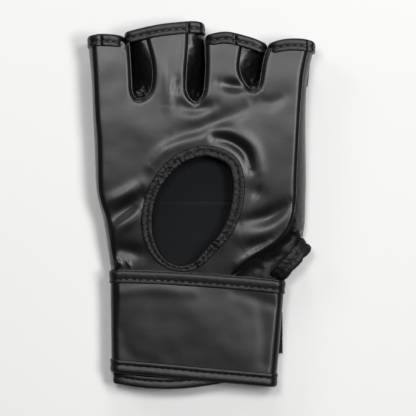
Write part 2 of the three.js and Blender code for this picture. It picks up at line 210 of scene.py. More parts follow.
# ---------------------------------------------------------------- curves and noise
def spline(points, count, closed=False):
    """count points, evenly spaced along a smooth curve through the given ones."""
    p = np.asarray(points, float)
    if closed:
        p = np.vstack([p[-1:], p, p[:2]])
    else:
        p = np.vstack([2 * p[:1] - p[1:2], p, 2 * p[-1:] - p[-2:-1]])
    t = np.linspace(0, 1, 24, endpoint=False)[:, None]
    fine = []
    for i in range(1, len(p) - 2):
        a, b, c, d = p[i - 1 : i + 3]
        square, cube = 2 * a - 5 * b + 4 * c - d, 3 * b - a - 3 * c + d
        fine.append(0.5 * (2 * b + (c - a) * t + square * t**2 + cube * t**3))
    fine = np.vstack(fine + [p[-2:-1]])
    travelled = np.concatenate([[0], np.cumsum(np.linalg.norm(np.diff(fine, axis=0), axis=1))])
    at = np.linspace(0, travelled[-1], count, endpoint=not closed)
    return np.stack([np.interp(at, travelled, fine[:, k]) for k in range(p.shape[1])], 1)


def length_of(points, closed=False):
    """The length of a polyline."""
    p = np.asarray(points, float)
    if closed:
        p = np.vstack([p, p[:1]])
    return np.linalg.norm(np.diff(p, axis=0), axis=1).sum()


def even(points, closed=False, spacing=SPACING):
    """A smooth curve through the points with steps of about the given spacing."""
    return spline(points, max(4, round(length_of(points, closed) / spacing)), closed)


def waves(points, size, seed=0.0):
    """Smooth noise from about -1 to 1 at each point, with bumps of about the given size."""
    p = np.atleast_2d(points) / size
    if p.shape[1] == 2:
        p = np.column_stack([p, np.zeros(len(p))])
    return np.array([noise.noise(Vector(row) + Vector((seed, 1.7 * seed, -seed))) for row in p])


def grid_waves(grid, size, seed, stretch=(1, 1, 1)):
    """Smooth noise at each point of a grid. Where stretch is under 1, the bumps are drawn out that way."""
    return waves(grid.reshape(-1, 3) * stretch, size, seed).reshape(grid.shape[:2])


def bell(distance, width):
    """1 at no distance, falling smoothly to almost nothing at twice the width."""
    return np.exp(-((distance / width) ** 2))


def unit(vectors):
    """The vectors brought to length 1."""
    return vectors / np.maximum(np.linalg.norm(vectors, axis=-1, keepdims=True), 1e-9)


def tangents(path, closed):
    """The direction of a path at each of its points."""
    if closed:
        return unit(np.roll(path, -1, 0) - np.roll(path, 1, 0))
    return unit(np.gradient(path, axis=0))


def outward_of(path):
    """The directions in the plane that point out of a closed path."""
    ahead = tangents(path, True)
    outward = np.column_stack([ahead[:, 1], -ahead[:, 0]])
    return outward if np.sum(outward * (path - path.mean(0))) > 0 else -outward


def distance_to(points, line, closed=False):
    """(distance, share of the way along) from each 2-D point to a polyline."""
    line = np.asarray(line, float)
    if closed:
        line = np.vstack([line, line[:1]])
    best = np.full(len(points), 1e9)
    share = np.zeros(len(points))
    steps = np.linalg.norm(np.diff(line, axis=0), axis=1)
    before = np.concatenate([[0], np.cumsum(steps)])
    for i, (a, b) in enumerate(zip(line[:-1], line[1:])):
        along = np.clip(((points - a) @ (b - a)) / max(steps[i] ** 2, 1e-9), 0, 1)
        gap = np.linalg.norm(points - (a + along[:, None] * (b - a)), axis=1)
        closer = gap < best
        best[closer] = gap[closer]
        share[closer] = (before[i] + along[closer] * steps[i]) / before[-1]
    return best, share


def inside(points, outline):
    """Which 2-D points lie inside a closed outline."""
    outline = np.asarray(outline, float)
    result = np.zeros(len(points), bool)
    for (xa, ya), (xb, yb) in zip(outline, np.roll(outline, -1, 0)):
        crosses = (ya > points[:, 1]) != (yb > points[:, 1])
        if crosses.any():
            at = xa + (points[:, 1] - ya) * (xb - xa) / (yb - ya if yb != ya else 1e-9)
            result ^= crosses & (points[:, 0] < at)
    return result


# ---------------------------------------------------------------- meshes
class Build:
    """Collects points and faces, with a material and a normal for each, and makes one object of them."""

    def __init__(self):
        self.points, self.normals, self.faces, self.slots = [], [], [], []

    def add(self, points, faces, slot=0, normals=None):
        """Adds faces, whose numbers count from the first of these points."""
        start = len(self.points)
        self.points.extend(np.asarray(points, float).tolist())
        self.normals.extend([(0, 0, 0)] * len(points) if normals is None else np.asarray(normals).tolist())
        self.faces.extend(tuple(start + i for i in face) for face in faces)
        self.slots.extend([slot] * len(faces))

    def make(self, name, *materials):
        """Makes the object; the faces with slot 0 get the first material."""
        mesh = bpy.data.meshes.new(name)
        mesh.from_pydata((np.asarray(self.points) * MM).tolist(), [], self.faces)
        for material in materials:
            mesh.materials.append(material)
        mesh.polygons.foreach_set("material_index", self.slots)
        mesh.polygons.foreach_set("use_smooth", [True] * len(self.faces))
        mesh.update()
        if any(any(n) for n in self.normals):
            mesh.normals_split_custom_set([self.normals[loop.vertex_index] for loop in mesh.loops])
        made = bpy.data.objects.new(name, mesh)
        bpy.context.scene.collection.objects.link(made)
        return made


def grid_faces(rows, cols, wrap_rows=False, wrap_cols=False):
    """Four-sided faces between the points of a grid, which can be closed either way."""
    faces = []
    for i in range(rows if wrap_rows else rows - 1):
        for j in range(cols if wrap_cols else cols - 1):
            a, b = i * cols, ((i + 1) % rows) * cols
            k = (j + 1) % cols
            faces.append((a + j, a + k, b + k, b + j))
    return faces


def grid_normals(grid, wrap_rows=False, wrap_cols=False):
    """Normals of a grid of points, rows by columns."""
    padded = np.pad(grid, ((1, 1), (0, 0), (0, 0)), mode="wrap" if wrap_rows else "edge")
    padded = np.pad(padded, ((0, 0), (1, 1), (0, 0)), mode="wrap" if wrap_cols else "edge")
    down = padded[2:, 1:-1] - padded[:-2, 1:-1]
    along = padded[1:-1, 2:] - padded[1:-1, :-2]
    return unit(np.cross(along, down))


def facing(grid, outward, wrap_cols=False):
    """A grid's normals and faces, turned to look outward."""
    normals = grid_normals(grid, wrap_cols=wrap_cols)
    faces = grid_faces(*grid.shape[:2], wrap_cols=wrap_cols)
    if np.sum(normals * np.asarray(outward, float)) < 0:
        normals = -normals
        faces = [tuple(reversed(face)) for face in faces]
    return normals, faces


def thick(points, normals, faces, thickness, open_edge=None):
    """A sheet with real thickness and closed edges, left open where open_edge says that it runs on. Its inner
    face has slot 1 and the rest slot 0."""
    points, normals = points.reshape(-1, 3), normals.reshape(-1, 3)
    build = Build()
    build.add(points, faces, 0, normals)
    build.add(points - normals * thickness, [tuple(reversed(face)) for face in faces], 1, -normals)
    edges = [edge for face in faces for edge in zip(face, face[1:] + face[:1])]
    shared = set(edges)
    rims = [(a, b) for a, b in edges if (b, a) not in shared]
    if open_edge:
        rims = [(a, b) for a, b in rims if not open_edge(points[a], points[b])]
    used = sorted({i for edge in rims for i in edge})
    place = {v: k for k, v in enumerate(used)}
    side = len(used)
    rim_points = np.vstack([points[used], (points - normals * thickness)[used]])
    build.add(rim_points, [(place[b], place[a], side + place[a], side + place[b]) for a, b in rims], 0)
    return build


def sheet(name, grid, outward, thickness, outer, inner, wrap_cols=False):
    """A sheet through a grid of points, with one material outside and one inside."""
    normals, faces = facing(grid, outward, wrap_cols=wrap_cols)
    return thick(grid, normals, faces, thickness).make(name, outer, inner)


def open_at(points):
    """A test for thick: whether both ends of an edge are among these points."""
    known = {tuple(np.round(point, 4)) for point in points}

    def runs_on(p, q):
        return tuple(np.round(p, 4)) in known and tuple(np.round(q, 4)) in known

    return runs_on


# How thick a stitch is and how high it lies, in its radius, at shares of its length from its middle.
STRAND_RINGS = {0.0: (1.0, 0.15), 0.36: (0.85, -0.25), 0.5: (0.25, -1.2)}


def strand(build, centre, along, up, length, radius, slot):
    """One stitch: a rounded strand that dips into the leather at both ends."""
    across = np.cross(along, up)
    points = []
    for share in (-0.5, -0.36, 0.0, 0.36, 0.5):
        size, lift = STRAND_RINGS[abs(share)]
        for k in range(6):
            turn = math.tau * k / 6
            offset = across * math.cos(turn) * size + up * (math.sin(turn) * size + lift)
            points.append(centre + along * share * length + offset * radius)
    build.add(points, grid_faces(5, 6, wrap_cols=True), slot)


def tape(name, rim, inward, normal, width, half, gather, seed, closed=True, material=LEATHER_TAPE,
         stitch_at=0.58, keep=None, pitch=STITCH_PITCH, pucker_length=3.1):
    """A strip of leather folded over an edge and sewn through. rim is the edge's path, inward points away
    from the rim along the sheet, and normal out of it. half is half its thickness, gather puckers it, and
    stitch_at is the stitches' share of the way in from the rim. keep chooses the path points to build."""
    count = len(rim)
    keep = np.ones(count, bool) if keep is None else keep
    width, half, gather = (np.broadcast_to(value, count).astype(float) for value in (width, half, gather))
    top = [(1.0, 0.3), (0.985, 0.8), (0.93, 1.0), (0.79, 1.04), (stitch_at + 0.08, 0.94), (stitch_at, 0.68),
           (stitch_at - 0.08, 0.94), (0.34, 1.06), (0.18, 1.04), (0.07, 0.84), (0.015, 0.4)]
    section = top + [(a, -b) for a, b in reversed(top)]
    underside = len(top)
    travelled = np.concatenate([[0], np.cumsum(np.linalg.norm(np.diff(rim, axis=0), axis=1))])
    columns = []
    for k, (a, b) in enumerate(section):
        place = np.tile((0, a * 1.6, k >= underside), (count, 1)).astype(float)
        place[:, 0] = travelled / pucker_length
        pucker = waves(place, 1.0, seed) + 0.6 * waves(place * 2.3, 1.0, seed + 5)
        slow = waves(place * 0.14, 1.0, seed + 9)
        lift = half * b * (1 + 0.10 * slow) + np.sign(b) * gather * pucker * (0.55 if 0 < a < 1 else 0.25)
        shift = a * width + (gather * 0.5 * pucker + 0.12 * slow) * (1 - 0.5 * a)
        columns.append(rim + inward * shift[:, None] + normal * lift[:, None])
    grid = np.stack(columns, 1)
    ahead = tangents(rim, closed)
    normals = grid_normals(grid, closed, True)
    build = Build()
    faces = grid_faces(np.count_nonzero(keep), len(section), closed, True)
    if np.sum(np.cross(-inward, ahead) * normal) < 0:
        faces = [tuple(reversed(face)) for face in faces]
        normals = -normals
    build.add(grid[keep].reshape(-1, 3), faces, 0, normals[keep].reshape(-1, 3))
    total = travelled[-1] + (np.linalg.norm(rim[0] - rim[-1]) if closed else 0)
    stitches = int(total / pitch)
    for k in range(stitches):
        i = min(int(np.searchsorted(travelled, (k + 0.5) * total / stitches)), count - 1)
        if not keep[i]:
            continue
        for side in (1, -1):
            up = normal[i] * side
            centre = rim[i] + inward[i] * stitch_at * width[i] + up * half[i] * 0.78
            strand(build, centre, ahead[i], up, pitch * 0.66, 0.34, 1)
    return build.make(name, material, THREAD)


# ---------------------------------------------------------------- outlines of the hand
# Seams of the palm leather, from the wrist to the fingertips.
LITTLE_SEAM = [(-51.9, -39.5), (-53.9, -28.4), (-56.9, -8.4), (-60.2, 1.6), (-61.9, 11.6), (-62.4, 38),
               (-63.7, 54.6), (-64.6, 75), (-65.7, 93), (-66.2, 99)]
INDEX_SEAM = [(53.1, -14.4), (55.6, -6.4), (57.1, 6.6), (57.6, 21.6), (59.1, 52), (60.6, 72), (61.8, 82),
              (64.1, 93), (64.9, 97.5)]
THUMB_EDGE = [(20, -41.5), (30.1, -32.8), (45.1, -23.4), (53.1, -14.4)]
# Where the side walls meet the padded back, beside those seams.
LITTLE_SIDE = [(-54.4, -39.5), (-56.0, -28.4), (-58.5, -11.4), (-61.0, 0.6), (-63.1, 12), (-64.5, 38),
               (-65.0, 54), (-65.8, 75), (-67.7, 93), (-68.2, 99)]
INDEX_SIDE = [(61.2, -19), (62.5, -10), (62.9, 3.6), (63.2, 20), (62.9, 52), (63.4, 72), (64.8, 82),
              (67.4, 93), (68.1, 97.5)]
# The slits between the stalls, each from the mouth of one stall round to the next: first the seam of the palm
# leather, then the edge of the wall below it.
SLITS = [
    (
        [(-43.6, 99.5), (-42.7, 90), (-42.0, 78), (-41.6, 70), (-40.5, 66.4), (-38.1, 64.5), (-34.8, 65.2),
         (-31.6, 68.3), (-30.1, 72.5), (-29.5, 80), (-30.6, 89), (-32.8, 97.5), (-33.6, 101)],
        [(-46.2, 98.5), (-45.6, 90), (-45.0, 78), (-44.6, 72), (-44.2, 69), (-43.8, 67.6), (-43.2, 67.4),
         (-42.7, 69.2), (-42.7, 73.5), (-43.2, 80), (-44.0, 89), (-45.0, 98), (-45.3, 101)],
    ),
    (
        [(-7.4, 107.5), (-7.6, 100), (-8.4, 87.6), (-9.1, 76), (-9.0, 70), (-7.2, 65.3), (-3.9, 62.7),
         (-0.4, 65.0), (1.4, 70), (2.1, 78), (2.4, 88), (2.1, 98), (2.2, 101)],
        [(2.0, 102), (2.4, 97), (2.4, 88), (2.0, 78), (1.6, 72), (1.2, 69), (1.0, 67.2), (1.6, 67.6),
         (2.6, 71.5), (3.2, 78), (3.6, 88), (3.6, 98), (3.6, 101)],
    ),
    (
        [(25.4, 100), (24.6, 94.8), (23.4, 88), (23.1, 83), (24.2, 78), (26.1, 74.4), (28.6, 71.4),
         (31, 69.9), (33.3, 71.0), (34.7, 73.6), (35.7, 79), (36.9, 86.6), (38.7, 92.5), (39.8, 95.5)],
        [(38.8, 92.5), (38.8, 90), (38.4, 87), (37.6, 84), (36.9, 80), (36.4, 77.4), (36.2, 75.0),
         (36.6, 73.8), (37.6, 74.2), (38.8, 76), (39.8, 79.5), (40.7, 86.6), (41.0, 92.5), (41.2, 95.5)],
    ),
]
# The bound rim of each stall, from the little finger's side across.
RIMS = {
    "little": [(-68.7, 97.5), (-67.9, 101.6), (-62.9, 103.2), (-57.9, 103.4), (-50.4, 102.7), (-46.2, 101),
               (-45.9, 98)],
    "ring": [(-46.4, 101), (-45.6, 104.2), (-37.9, 106.5), (-24.9, 109.2), (-12.9, 110.6), (-3.9, 111.1),
             (1.1, 109.4), (1.9, 105)],
    "middle": [(2.4, 99), (3.0, 102.3), (10.1, 104.4), (17.1, 104.6), (27.1, 102.1), (33.1, 100.1),
               (39.2, 96.9), (39.6, 94.5)],
    "index": [(40.0, 94.5), (40.5, 97.3), (47.1, 99.8), (55, 100.7), (63.1, 100.1), (67.5, 97.8), (68.4, 93)],
}
FINGERS = list(RIMS)
# The width of each stall's padded back at the crease and at the rim.
LANES = {
    "little": ((-65.2, -46.4), (-68.0, -46.4)),
    "ring": ((-41.4, 1.2), (-43.4, 1.6)),
    "middle": ((2.6, 38.0), (2.8, 38.8)),
    "index": ((40.5, 64.2), (40.7, 68.0)),
}
# The rim of the palm opening, clockwise from the top.
HOLE = [(-0.2, 29.4), (10.1, 27.7), (16.3, 23.4), (18.3, 15.5), (18.1, 5.5), (15.6, -6), (11.2, -15.2),
        (4.2, -23.6), (-3.6, -32.4), (-10.8, -35.6), (-18.2, -34.2), (-24.6, -28.2), (-28.4, -18.4),
        (-29.2, -8.4), (-27.4, 3), (-22.2, 14), (-12.2, 24.4)]
# Soft folds of the palm leather: a line, its half width and its height, which is negative for a valley.
FOLDS = [
    ([(-57, 2), (-47, 6.5), (-36, 13)], 3.8, 1.0),
    ([(-56, -9), (-46, -2), (-37, 5)], 4.2, -1.5),
    ([(-54, -22), (-49, -13), (-40, -6), (-37, -2)], 4.2, 1.2),
    ([(-52, -27), (-45, -27), (-36, -29)], 4.4, -1.3),
    ([(-52, -32), (-48.5, -36)], 1.5, 0.9),
    ([(-44.5, -33), (-42.5, -38)], 1.2, 0.7),
    ([(24, -10), (38, -7), (53, 1)], 4.4, -1.5),
    ([(24, -19), (38, -17), (50, -8), (56, 3)], 4.6, 0.8),
    ([(22, -35), (34, -28), (46, -20.5), (54, -10), (56, -4)], 2.6, 0.9),
    ([(26, -27), (40, -20)], 3.6, -0.7),
    ([(-17, 40), (-2, 46), (14, 53), (30, 60)], 5.0, -1.2),
    ([(-30, 24), (-22, 33), (-10, 39), (2, 42)], 4.0, 1.0),
    ([(8, 41), (18, 38.5), (26, 32), (29, 22)], 3.2, -1.9),
    ([(4, 46), (18, 44.5), (31, 36), (35, 22)], 4.0, 0.7),
    ([(-13.5, 60), (-4, 58.4), (8, 60.5)], 4.2, -1.3),
    ([(11, 73.5), (19, 72), (27, 71.5)], 3.6, -1.4),
    ([(-14, 76), (-16, 66)], 2.6, -0.6),
    ([(-21, 84), (-20, 70), (-21, 60)], 3.6, 0.5),
    ([(31, 9), (36, 7)], 4.5, -0.6),
    ([(33, 63), (41, 62), (50, 66)], 4.0, -0.6),
]


def strap_side_y(x):
    """The strap's upper edge where it is straight, at its sides and behind the wrist."""
    return -38.4 - 0.062 * (x + 55.5)


def strap_upper_y(x):
    """The strap's upper edge across the palm side: it bows up a little between its ends."""
    return strap_side_y(x) + 1.3 * np.clip(1 - ((x + 6) / 54) ** 2, 0, 1)


def palm_base(y):
    """The palm is level at the crease and falls more and more steeply towards the wrist."""
    return PALM_Z - PALM_DROP * ((CREASE_Y - y) / (CREASE_Y - STRAP_Y)) ** 2


def pad_top(y):
    """The top of the padding, under the lining."""
    return PAD_Z + PAD_SLOPE * np.minimum(0, y - CREASE_Y)


SEAM_LINES = [even(line) for line in (LITTLE_SEAM, INDEX_SEAM, THUMB_EDGE)] + [even(top) for top, _ in SLITS]
FOLD_LINES = [(spline(line, 14), width, height) for line, width, height in FOLDS]
ROLL_WIDTH = 3.4  # how far from a seam the leather starts to turn down
ROLL_DEPTH = 1.7
ROLL_ROWS = (0.6, 1.3, 2.1, 3.1)  # rows of points that follow the seams
UNDER_RIM = 3.2  # how far under the stalls' bound rims the palm leather ends
UNDER_BINDING = 3.0  # how far under the palm opening's binding, and under the strap, it ends


def palm_height(xy, rolled=True):
    """The top of the palm leather at [x, y] points: its slope, folds, slow waves and edges that roll down."""
    xy = np.asarray(xy, float)
    z = np.zeros(len(xy))
    for line, width, height in FOLD_LINES:
        gap, along = distance_to(xy, line)
        z += height * bell(gap, width) * (0.35 + 0.65 * np.sin(math.pi * np.clip(along, 0.02, 0.98)))
    z += 0.45 * waves(xy, 26, 3) + 0.12 * waves(xy, 11, 8)
    z *= np.clip((xy[:, 1] - strap_upper_y(xy[:, 0]) + 0.5) / 5, 0, 1)
    z += palm_base(xy[:, 1])
    if rolled:
        nearest = np.min([distance_to(xy, line)[0] for line in SEAM_LINES], 0)
        z -= ROLL_DEPTH * np.clip(1 - nearest / ROLL_WIDTH, 0, 1) ** 2
    return z


def palm_normals(xy):
    """Normals of the palm leather, from its height a small step to each side."""
    step = 0.35
    dx = palm_height(xy + (step, 0)) - palm_height(xy - (step, 0))
    dy = palm_height(xy + (0, step)) - palm_height(xy - (0, step))
    return unit(np.column_stack([-dx, -dy, np.full(len(xy), 2 * step)]))


def rim_y(finger, x):
    """How far up the bound rim of a stall is at x."""
    curve = spline(RIMS[finger], 60)
    return np.interp(x, curve[:, 0], curve[:, 1])


# ---------------------------------------------------------------- palm leather
def palm_outline():
    """The cut edge of the palm leather with the stalls' faces, clockwise from the wrist on the little
    finger's side. It ends under the bindings and the strap."""
    right_sides = [even(top) for top, _ in SLITS] + [even(INDEX_SEAM)[::-1]]
    outline = list(even(LITTLE_SEAM))
    for finger, right_side in zip(FINGERS, right_sides):
        x = np.arange(outline[-1][0] + SPACING, right_side[0][0] - SPACING / 2, SPACING)
        outline.extend(np.column_stack([x, rim_y(finger, x) - UNDER_RIM]))
        outline.extend(right_side)
    outline.extend(even(THUMB_EDGE)[::-1][1:])
    x = np.arange(THUMB_EDGE[0][0] - SPACING, -51, -SPACING)
    outline.extend(np.column_stack([x, strap_upper_y(x) - UNDER_BINDING]))
    return np.array(outline)


def stall_of(x):
    """The finger whose stall a point above the crease belongs to."""
    return FINGERS[int(np.searchsorted([-36.0, -3.0, 31.0], x))]


def hole_outline():
    """The cut edge of the palm opening, which lies under its binding."""
    middle = np.mean(HOLE, 0)
    arms = np.array(HOLE) - middle
    lengths = np.linalg.norm(arms, axis=1, keepdims=True)
    return even(middle + arms * (1 + UNDER_BINDING / lengths), True)


def palm_points(outline, hole):
    """Points between the edges of the palm leather: a triangular grid, and rows that follow the outline."""
    rows = enumerate(np.arange(-48, 112, SPACING * 0.866))
    inner = np.array([(x + row % 2 * SPACING / 2, y) for row, y in rows for x in np.arange(-70, 72, SPACING)])
    from_rolls = distance_to(inner, outline, True)[0] - ROLL_ROWS[-1]
    from_hole = distance_to(inner, hole, True)[0]
    apart = np.min([from_rolls, from_hole, np.abs(inner[:, 1] - SPLIT_Y)], 0)
    inner = inner[(apart > 0.6 * SPACING) & inside(inner, outline) & ~inside(inner, hole)]
    for offset in ROLL_ROWS:
        row = outline - outward_of(outline) * offset
        near = distance_to(row, outline, True)[0] > 0.95 * offset
        row = row[near & (np.abs(row[:, 1] - SPLIT_Y) > 0.4) & inside(row, outline)]
        inner = np.vstack([inner, row])
    return inner


def bend_with_stall(piece):
    """Bakes the placement of a piece of a stall's leather into its points, where it is built."""
    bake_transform(piece)


def palm_leather():
    """The palm leather, parted at the crease into the hand's share and one share for each stall."""
    outline = palm_outline()
    hole = hole_outline()
    across = np.array([(x, SPLIT_Y) for x in np.arange(-72, 73, SPACING)])
    points = np.vstack([outline, hole, across, palm_points(outline, hole)])
    a, b, c = len(outline), len(hole), len(across)
    edges = [(i, (i + 1) % a) for i in range(a)]
    edges += [(a + i, a + (i + 1) % b) for i in range(b)]
    edges += [(a + b + i, a + b + i + 1) for i in range(c - 1)]
    found, _, faces, *_ = delaunay_2d_cdt([Vector(p) for p in points], edges, [], 0, 1e-5)
    xy = np.array([tuple(v) for v in found])
    middles = np.array([xy[list(face)].mean(0) for face in faces])
    kept = inside(middles, outline) & ~inside(middles, hole)
    points = np.column_stack([xy, palm_height(xy)])
    normals = palm_normals(xy)

    def share(name, chosen):
        """One object from the chosen faces."""
        picked = [tuple(face) for face, yes in zip(faces, kept & chosen) if yes]
        used = sorted({i for face in picked for i in face})
        place = {v: k for k, v in enumerate(used)}
        picked = [tuple(place[i] for i in face) for face in picked]
        at_split = points[np.abs(points[:, 1] - SPLIT_Y) < 0.01]
        build = thick(points[used], normals[used], picked, LEATHER, open_at(at_split))
        return build.make(name, LEATHER_SKIN, LINING)

    palm = share("palm_leather", middles[:, 1] < SPLIT_Y)
    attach(palm, "hand")
    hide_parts("palm_panel")
    owners = np.array([stall_of(x) for x in middles[:, 0]])
    for finger in FINGERS:
        face = share(f"{finger}_palm_leather", (middles[:, 1] > SPLIT_Y) & (owners == finger))
        bend_with_stall(face)
        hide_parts(f"{finger}_palm_face")


# ---------------------------------------------------------------- side walls and slit walls
def wall_columns(top):
    """How many columns of points a wall under this seam has."""
    return max(8, round(length_of(top) / 1.2))


def wall_grid(top, low, bulge, steps, crumple, seed, lift=0.0):
    """Points of a wall between a seam and a lower edge. bulge is how far each column bows out from the stall
    that it belongs to, crumple how deep its creases are and lift how far its lower edge is drawn up."""
    count = wall_columns(top)
    a = spline(top, count)
    b = spline(low, count)
    a = np.column_stack([a, palm_height(a) - 0.5])
    b = np.column_stack([b, pad_top(b[:, 1]) - 2.2 + lift])
    rows = [a * (1 - t) + b * t + bulge * 4 * t * (1 - t) for t in np.linspace(0, 1, steps)]
    grid = np.stack(rows, 1)
    normals = grid_normals(grid)
    crease = grid_waves(grid, 2.6, seed, (1, 1, 0.45)) + 0.5 * grid_waves(grid, 1.6, seed + 3)
    depth = np.broadcast_to(crumple, count)[:, None] * np.sin(np.pi * np.linspace(0.04, 0.96, steps))[None, :]
    return grid + normals * (crease * depth)[..., None]


def part_of_grid(name, grid, normals, rows, thickness):
    """A sheet from some neighbouring rows of a grid, left open where the grid runs on."""
    part = grid[rows]
    faces = facing(part, normals[rows])[1]
    open_rows = [part[end] for end in (0, -1) if not rows[end]]
    test = open_at(np.concatenate(open_rows)) if open_rows else None
    return thick(part, normals[rows], faces, thickness, test).make(name, LEATHER_SKIN, LINING)


def wall_piece(name, grid, rows, outward, node_name, finger=None):
    """One object from some rows of a wall's grid, attached to the hand, or baked in place when it belongs to
    a stall.
    """
    piece = part_of_grid(name, grid, facing(grid, outward)[0], rows, WALL)
    if finger:
        bend_with_stall(piece)
    else:
        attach(piece, "hand")
    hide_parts(node_name)


def outer_walls():
    """The narrow strips along the two sides of the hand, which run on up the outer stalls."""
    for seam, side, sign, finger, wall, crumple_at_wrist in (
        (LITTLE_SEAM, LITTLE_SIDE, -1, "little", "little_left_wall", 0.3),
        (INDEX_SEAM, INDEX_SIDE, 1, "index", "index_right_wall", 0.8),
    ):
        near_wrist = np.clip(1 - np.linspace(0, 1, wall_columns(seam)) / 0.14, 0, 1)
        bulge = np.array((sign * 0.9, 0, 1.1))
        grid = wall_grid(seam, side, bulge, 13, near_wrist * crumple_at_wrist + 0.12, 4)
        upper = grid[:, 0, 1] > SPLIT_Y
        lower = ~upper
        lower[np.argmax(upper)] = True
        strip = f"{finger}_side_strip"
        wall_piece(f"{strip}_leather", grid, lower, (sign, 0, 0), strip)
        wall_piece(f"{wall}_leather", grid, upper, (sign, 0, 0), wall, finger)


def slit_walls():
    """The crumpled leather round each slit: one stall's wall, the web below and the next stall's wall."""
    for i, (top, low) in enumerate(SLITS):
        count = wall_columns(top)
        a, b = spline(top, count), spline(low, count)
        y = a[:, 1]
        # The walls lie back flat towards the mouths, where the bound rim holds them out.
        flare = np.clip((y - CREASE_Y) / 26, 0, 1) ** 1.3
        rise = np.linalg.norm(b - a, axis=1) * 0.28 * flare + 0.4
        bulge = np.column_stack([(b - a) * 0.12 * flare[:, None], rise])
        bottom = np.clip((y.min() + 12 - y) / 12, 0, 1)
        grid = wall_grid(top, low, bulge, 17, 0.4 + 1.6 * bottom, 11 + i, 6.6 * bottom**2)
        high = grid[:, 0, 1] > SPLIT_Y
        turn = int(np.argmin(y))
        order = np.arange(count)
        left = high & (order < turn)
        right = high & (order > turn)
        web = ~(left | right)
        web[[np.flatnonzero(left)[-1], np.flatnonzero(right)[0]]] = True
        wall_piece(f"web_{i + 1}_leather", grid, web, (0, 0, 1), f"finger_web_{i + 1}")
        for finger, side, rows in ((FINGERS[i], "right", left), (FINGERS[i + 1], "left", right)):
            wall = f"{finger}_{side}_wall"
            wall_piece(f"{wall}_leather", grid, rows, (0, 0, 1), wall, finger)


# ---------------------------------------------------------------- bound edges of the hand
# Where each stall's binding is joined, as x.
BINDING_JOINS = {"little": -60.5, "ring": -8.4, "middle": 20, "index": 64}
# Half of a stall's mouth, from the back round to the palm: how far in from its side, and z.
MOUTH_SIDE = [(2.8, 12.9), (1.5, 16), (1.2, 20.5), (2.1, 25), (4.8, 27.2)]


def mouth_bindings():
    """The bound rim round each stall's mouth, thinner where its ends are joined and sewn over each other."""
    for k, finger in enumerate(FINGERS):
        left, right = RIMS[finger][0][0], RIMS[finger][-1][0]
        middle = (left + right) / 2
        loop = [(left + x, z) for x, z in MOUTH_SIDE] + [(middle, 27.9)]
        loop += [(right - x, z) for x, z in reversed(MOUTH_SIDE)] + [(middle, 12.4)]
        ring = even(loop, True, 0.8)
        y = rim_y(finger, ring[:, 0])
        high = np.clip((ring[:, 1] - 13) / 12, 0, 1)
        rim = np.column_stack([ring[:, 0], y - 1.2 * (1 - high), ring[:, 1]])
        rim[:, 2] += 0.5 * waves(rim, 14, 20 + k) * high
        flat_x = np.clip(ring[:, 0], left + 5, right - 5)
        width = TAPE_WIDTH - (rim_y(finger, flat_x) - y)
        beside = ring[:, 0] - BINDING_JOINS[finger]
        half = TAPE_HALF * (1 - 0.75 * bell(beside, 0.7) + 0.3 * bell(beside - 1.8, 1.2))
        ahead = tangents(ring, True)
        normal = np.column_stack([-ahead[:, 1], np.zeros(len(ring)), ahead[:, 0]])
        inward = np.tile((0.0, -1.0, 0.0), (len(ring), 1))
        piece = tape(f"{finger}_mouth_binding", rim, inward, normal, width, half, 0.07, 30 + k)
        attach(piece, f"{finger}_finger")
        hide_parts(f"{finger}_binding")


def palm_hole_binding():
    """The gathered elastic round the palm opening: most puckered at two places, thin along the bottom."""
    path = even(HOLE, True, 0.5)
    middle = path.mean(0)
    # 0 at the top and positive towards the thumb
    turn = np.arctan2(path[:, 0] - middle[0], path[:, 1] - middle[1])

    def near(degrees, spreading):
        """1 in this direction from the middle of the opening, falling away round the rim."""
        return bell((turn - math.radians(degrees) + math.pi) % math.tau - math.pi, spreading)

    outward = outward_of(path)
    width = 6.9 + 0.6 * near(70, 0.6) - 3.0 * near(196, 0.45) - 1.0 * near(150, 0.4)
    gather = 0.3 + 1.0 * near(-18, 0.5) + 1.1 * near(144, 0.25) + 0.4 * near(180, 0.3)
    half = 1.35 - 0.25 * near(196, 0.5) + 0.6 * near(144, 0.08)
    z = palm_height(path + outward * UNDER_BINDING, rolled=False) + 0.35
    beside_strap = path[:, 1] < STRAP_Y + 5
    z[beside_strap] = np.minimum(z[beside_strap], HOLE_TOP_BESIDE_STRAP)
    rim = np.column_stack([path, z])
    inward = np.column_stack([outward, np.zeros(len(path))])
    normal = np.tile((0.0, 0.0, 1.0), (len(path), 1))
    piece = tape("palm_opening_binding", rim, inward, normal, width, half, gather, 47, stitch_at=0.55,
                 material=LEATHER_ELASTIC, pitch=ELASTIC_PITCH, pucker_length=2.0)
    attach(piece, "hand")
    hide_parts("palm_hole_binding")


def thumb_elastic():
    """The gathered elastic tube round the thumb opening."""
    along = np.array((0.66, 0.75, 0.0))
    up = np.array((0.0, 0.0, 1.0))
    axis = np.array((0.75, -0.66, 0.0))
    centre = np.array((57.8, -36.4, 15.4))
    half_long, half_high = 12.2, 5.2
    turns = np.linspace(0, math.tau, 120, endpoint=False)
    cosines, sines = np.cos(turns)[:, None], np.sin(turns)[:, None]
    rim = centre + cosines * along * half_long + sines * up * half_high
    rim += axis * (0.9 * waves(rim, 2.6, 64) + 0.6 * waves(rim, 7, 65))[:, None]
    normal = unit(cosines * along / half_long + sines * up / half_high)
    inward = unit(0.12 * cosines * along - axis)
    piece = tape("thumb_opening_elastic", rim, inward, normal, 9.4, 1.9, 0.62, 61, material=LEATHER_ELASTIC,
                 stitch_at=0.52, pitch=ELASTIC_PITCH, pucker_length=2.2)
    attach(piece, "hand")
    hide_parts("thumb_opening_binding")


